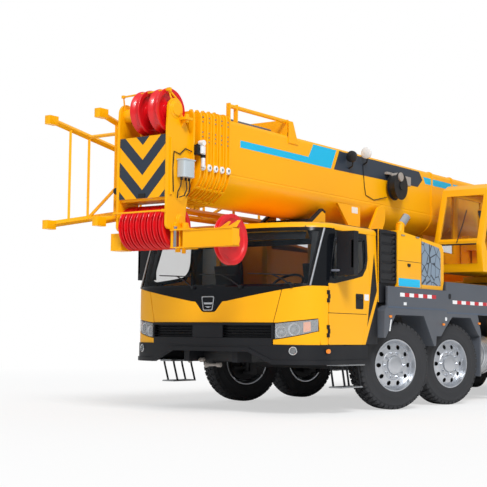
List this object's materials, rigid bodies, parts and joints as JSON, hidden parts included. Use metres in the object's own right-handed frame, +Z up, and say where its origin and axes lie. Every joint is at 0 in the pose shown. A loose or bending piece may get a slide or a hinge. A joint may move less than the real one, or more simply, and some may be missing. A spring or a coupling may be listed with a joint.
{
  "type": "five-axle mobile crane",
  "caption": "Truck-mounted telescopic crane with a slewing, luffing and extending boom, outriggers, steered front axles, opening cab doors and a stowed lattice jib.",
  "frame": {"origin": "on the ground, on the centreline, midway along the overall length", "axes": "+X towards the vehicle's left, -Y towards its front, +Z up"},
  "size_m": [3.53, 15.04, 3.91],
  "materials": {
    "crane_yellow": "gloss yellow paint with dark and blue stripes on the boom",
    "chassis_black": "satin black paint",
    "deck_grey": "satin slate grey paint",
    "sheave_red": "gloss red paint",
    "tyre": "matt rubber with polished aluminium rims",
    "glass": "tinted glass",
    "cab_trim": "dark grey plastic and cloth",
    "engine_grey": "painted castings",
    "tank_metal": "brushed aluminium",
    "rod_chrome": "chromed rod",
    "rope_steel": "bare steel"
  },
  "bodies": {
    "carrier": {"chassis_frame": "chassis_black", "axle_1": "chassis_black", "axle_2": "chassis_black", "axle_3": "chassis_black", "axle_4": "chassis_black", "axle_5": "chassis_black", "front_bumper": "chassis_black", "cab_shell": "crane_yellow", "cab_windscreen": "glass", "cab_interior": "cab_trim", "engine_block": "engine_grey", "engine_cover_left": "crane_yellow", "engine_cover_right": "crane_yellow", "deck_left": "deck_grey", "deck_right": "deck_grey", "fuel_tank_left": "tank_metal", "fuel_tank_right": "tank_metal", "boom_rest": "crane_yellow"},
    "knuckle_left_1": {"knuckle_left_1": "chassis_black"},
    "wheel_left_1": {"wheel_left_1": "tyre"},
    "knuckle_right_1": {"knuckle_right_1": "chassis_black"},
    "wheel_right_1": {"wheel_right_1": "tyre"},
    "knuckle_left_2": {"knuckle_left_2": "chassis_black"},
    "wheel_left_2": {"wheel_left_2": "tyre"},
    "knuckle_right_2": {"knuckle_right_2": "chassis_black"},
    "wheel_right_2": {"wheel_right_2": "tyre"},
    "wheels_left_3": {"wheels_left_3": "tyre"},
    "wheels_right_3": {"wheels_right_3": "tyre"},
    "wheels_left_4": {"wheels_left_4": "tyre"},
    "wheels_right_4": {"wheels_right_4": "tyre"},
    "wheels_left_5": {"wheels_left_5": "tyre"},
    "wheels_right_5": {"wheels_right_5": "tyre"},
    "cab_door_left": {"cab_door_left": "crane_yellow"},
    "cab_door_right": {"cab_door_right": "crane_yellow"},
    "outrigger_beam_front_left": {"outrigger_beam_front_left": "deck_grey"},
    "outrigger_jack_front_left": {"outrigger_jack_front_left": "rod_chrome"},
    "outrigger_beam_front_right": {"outrigger_beam_front_right": "deck_grey"},
    "outrigger_jack_front_right": {"outrigger_jack_front_right": "rod_chrome"},
    "outrigger_beam_rear_left": {"outrigger_beam_rear_left": "deck_grey"},
    "outrigger_jack_rear_left": {"outrigger_jack_rear_left": "rod_chrome"},
    "outrigger_beam_rear_right": {"outrigger_beam_rear_right": "deck_grey"},
    "outrigger_jack_rear_right": {"outrigger_jack_rear_right": "rod_chrome"},
    "superstructure": {"turntable": "crane_yellow", "counterweight": "crane_yellow", "operator_cab": "crane_yellow"},
    "operator_cab_door": {"operator_cab_door": "crane_yellow"},
    "main_winch": {"main_winch_drum": "rope_steel"},
    "auxiliary_winch": {"auxiliary_winch_drum": "rope_steel"},
    "boom": {"boom_base_section": "crane_yellow", "jib": "crane_yellow"},
    "boom_section_2": {"boom_section_2": "crane_yellow"},
    "boom_section_3": {"boom_section_3": "crane_yellow"},
    "boom_section_4": {"boom_section_4": "crane_yellow"},
    "boom_section_5": {"boom_section_5": "crane_yellow"},
    "boom_head": {"boom_head": "crane_yellow"},
    "upper_sheaves": {"upper_sheaves": "sheave_red"},
    "lower_sheaves": {"lower_sheaves": "sheave_red"},
    "auxiliary_sheave": {"auxiliary_sheave": "sheave_red"},
    "luffing_cylinder": {"luffing_cylinder": "crane_yellow"},
    "luffing_rod": {"luffing_rod": "rod_chrome"}
  },
  "joints": [
    {"name": "steer_left_1", "type": "hinge", "parent": "carrier", "child": "knuckle_left_1", "pos_m": [1.12, -3.53, 0.6], "axis": [0, 0, 1], "range_deg": [-7.7, 52.3]},
    {"name": "wheel_left_1_spin", "type": "hinge", "parent": "knuckle_left_1", "child": "wheel_left_1", "pos_m": [1.12, -3.53, 0.6], "axis": [0.9252, -0.3795, 0], "continuous": true},
    {"name": "steer_right_1", "type": "hinge", "parent": "carrier", "child": "knuckle_right_1", "pos_m": [-1.12, -3.53, 0.6], "axis": [0, 0, 1], "range_deg": [-7.7, 52.3]},
    {"name": "wheel_right_1_spin", "type": "hinge", "parent": "knuckle_right_1", "child": "wheel_right_1", "pos_m": [-1.12, -3.53, 0.6], "axis": [0.9252, -0.3795, 0], "continuous": true},
    {"name": "steer_left_2", "type": "hinge", "parent": "carrier", "child": "knuckle_left_2", "pos_m": [1.12, -1.908, 0.6], "axis": [0, 0, 1], "range_deg": [-5.89, 39.69]},
    {"name": "wheel_left_2_spin", "type": "hinge", "parent": "knuckle_left_2", "child": "wheel_left_2", "pos_m": [1.12, -1.908, 0.6], "axis": [0.9568, -0.2907, 0], "continuous": true},
    {"name": "steer_right_2", "type": "hinge", "parent": "carrier", "child": "knuckle_right_2", "pos_m": [-1.12, -1.908, 0.6], "axis": [0, 0, 1], "range_deg": [-5.89, 39.69]},
    {"name": "wheel_right_2_spin", "type": "hinge", "parent": "knuckle_right_2", "child": "wheel_right_2", "pos_m": [-1.12, -1.908, 0.6], "axis": [0.9568, -0.2907, 0], "continuous": true},
    {"name": "wheels_left_3_spin", "type": "hinge", "parent": "carrier", "child": "wheels_left_3", "pos_m": [0, 1.19, 0.6], "axis": [1, 0, 0], "continuous": true},
    {"name": "wheels_right_3_spin", "type": "hinge", "parent": "carrier", "child": "wheels_right_3", "pos_m": [0, 1.19, 0.6], "axis": [1, 0, 0], "continuous": true},
    {"name": "wheels_left_4_spin", "type": "hinge", "parent": "carrier", "child": "wheels_left_4", "pos_m": [0, 2.54, 0.6], "axis": [1, 0, 0], "continuous": true},
    {"name": "wheels_right_4_spin", "type": "hinge", "parent": "carrier", "child": "wheels_right_4", "pos_m": [0, 2.54, 0.6], "axis": [1, 0, 0], "continuous": true},
    {"name": "wheels_left_5_spin", "type": "hinge", "parent": "carrier", "child": "wheels_left_5", "pos_m": [0, 3.89, 0.6], "axis": [1, 0, 0], "continuous": true},
    {"name": "wheels_right_5_spin", "type": "hinge", "parent": "carrier", "child": "wheels_right_5", "pos_m": [0, 3.89, 0.6], "axis": [1, 0, 0], "continuous": true},
    {"name": "cab_door_left_hinge", "type": "hinge", "parent": "carrier", "child": "cab_door_left", "pos_m": [1.494, -5.47, 1.2], "axis": [0, 0, -1], "range_deg": [0, 70]},
    {"name": "cab_door_right_hinge", "type": "hinge", "parent": "carrier", "child": "cab_door_right", "pos_m": [-1.494, -5.47, 1.2], "axis": [0, 0, 1], "range_deg": [0, 70]},
    {"name": "outrigger_beam_front_left_slide", "type": "slide", "parent": "carrier", "child": "outrigger_beam_front_left", "axis": [1, 0, 0], "range_m": [0, 2.1]},
    {"name": "outrigger_jack_front_left_slide", "type": "slide", "parent": "outrigger_beam_front_left", "child": "outrigger_jack_front_left", "axis": [0, 0, -1], "range_m": [0, 0.56]},
    {"name": "outrigger_beam_front_right_slide", "type": "slide", "parent": "carrier", "child": "outrigger_beam_front_right", "axis": [-1, 0, 0], "range_m": [0, 2.1]},
    {"name": "outrigger_jack_front_right_slide", "type": "slide", "parent": "outrigger_beam_front_right", "child": "outrigger_jack_front_right", "axis": [0, 0, -1], "range_m": [0, 0.56]},
    {"name": "outrigger_beam_rear_left_slide", "type": "slide", "parent": "carrier", "child": "outrigger_beam_rear_left", "axis": [1, 0, 0], "range_m": [0, 2.1]},
    {"name": "outrigger_jack_rear_left_slide", "type": "slide", "parent": "outrigger_beam_rear_left", "child": "outrigger_jack_rear_left", "axis": [0, 0, -1], "range_m": [0, 0.56]},
    {"name": "outrigger_beam_rear_right_slide", "type": "slide", "parent": "carrier", "child": "outrigger_beam_rear_right", "axis": [-1, 0, 0], "range_m": [0, 2.1]},
    {"name": "outrigger_jack_rear_right_slide", "type": "slide", "parent": "outrigger_beam_rear_right", "child": "outrigger_jack_rear_right", "axis": [0, 0, -1], "range_m": [0, 0.56]},
    {"name": "slew", "type": "hinge", "parent": "carrier", "child": "superstructure", "pos_m": [0, 2.94, 1.88], "axis": [0, 0, 1], "continuous": true},
    {"name": "operator_cab_door_slide", "type": "slide", "parent": "superstructure", "child": "operator_cab_door", "axis": [0, 1, 0], "range_m": [0, 0.75]},
    {"name": "main_winch_spin", "type": "hinge", "parent": "superstructure", "child": "main_winch", "pos_m": [0, 5.9, 2.3], "axis": [1, 0, 0], "continuous": true},
    {"name": "auxiliary_winch_spin", "type": "hinge", "parent": "superstructure", "child": "auxiliary_winch", "pos_m": [0, 5.39, 2.25], "axis": [1, 0, 0], "continuous": true},
    {"name": "boom_luff", "type": "hinge", "parent": "superstructure", "child": "boom", "pos_m": [0, 5.04, 3.05], "axis": [-1, 0, 0], "range_deg": [0, 78]},
    {"name": "telescope_2", "type": "slide", "parent": "boom", "child": "boom_section_2", "axis": [0, -1, 0], "range_m": [0, 9.6]},
    {"name": "telescope_3", "type": "slide", "parent": "boom_section_2", "child": "boom_section_3", "axis": [0, -1, 0], "range_m": [0, 9.6]},
    {"name": "telescope_4", "type": "slide", "parent": "boom_section_3", "child": "boom_section_4", "axis": [0, -1, 0], "range_m": [0, 9.6]},
    {"name": "telescope_5", "type": "slide", "parent": "boom_section_4", "child": "boom_section_5", "axis": [0, -1, 0], "range_m": [0, 9.6]},
    {"name": "telescope_6", "type": "slide", "parent": "boom_section_5", "child": "boom_head", "axis": [0, -1, 0], "range_m": [0, 9.6]},
    {"name": "upper_sheaves_spin", "type": "hinge", "parent": "boom_head", "child": "upper_sheaves", "pos_m": [0, -7.16, 3.64], "axis": [1, 0, 0], "continuous": true},
    {"name": "lower_sheaves_spin", "type": "hinge", "parent": "boom_head", "child": "lower_sheaves", "pos_m": [0, -7.045, 2.26], "axis": [1, 0, 0], "continuous": true},
    {"name": "auxiliary_sheave_spin", "type": "hinge", "parent": "boom_head", "child": "auxiliary_sheave", "pos_m": [0, -6.85, 2.095], "axis": [1, 0, 0], "continuous": true},
    {"name": "luffing_cylinder_tilt", "type": "hinge", "parent": "boom", "child": "luffing_cylinder", "pos_m": [0, -0.33, 2.35], "axis": [-1, 0, 0], "range_deg": [0, 6.34]},
    {"name": "luffing_rod_slide", "type": "slide", "parent": "luffing_cylinder", "child": "luffing_rod", "axis": [0, 0.9992, -0.0408], "range_m": [0, 2.0562]}
  ],
  "couplings": [
    {"joint": "steer_right_1", "follows": "steer_left_1", "ratio": 1},
    {"joint": "steer_left_2", "follows": "steer_left_1", "ratio": 0.758},
    {"joint": "steer_right_2", "follows": "steer_left_1", "ratio": 0.758},
    {"joint": "telescope_3", "follows": "telescope_2", "ratio": 1},
    {"joint": "telescope_4", "follows": "telescope_2", "ratio": 1},
    {"joint": "telescope_5", "follows": "telescope_2", "ratio": 1},
    {"joint": "telescope_6", "follows": "telescope_2", "ratio": 1},
    {"joint": "luffing_cylinder_tilt", "follows": "boom_luff", "ratio": 0.080699},
    {"joint": "luffing_rod_slide", "follows": "boom_luff", "m_per_rad": 1.5089}
  ]
}
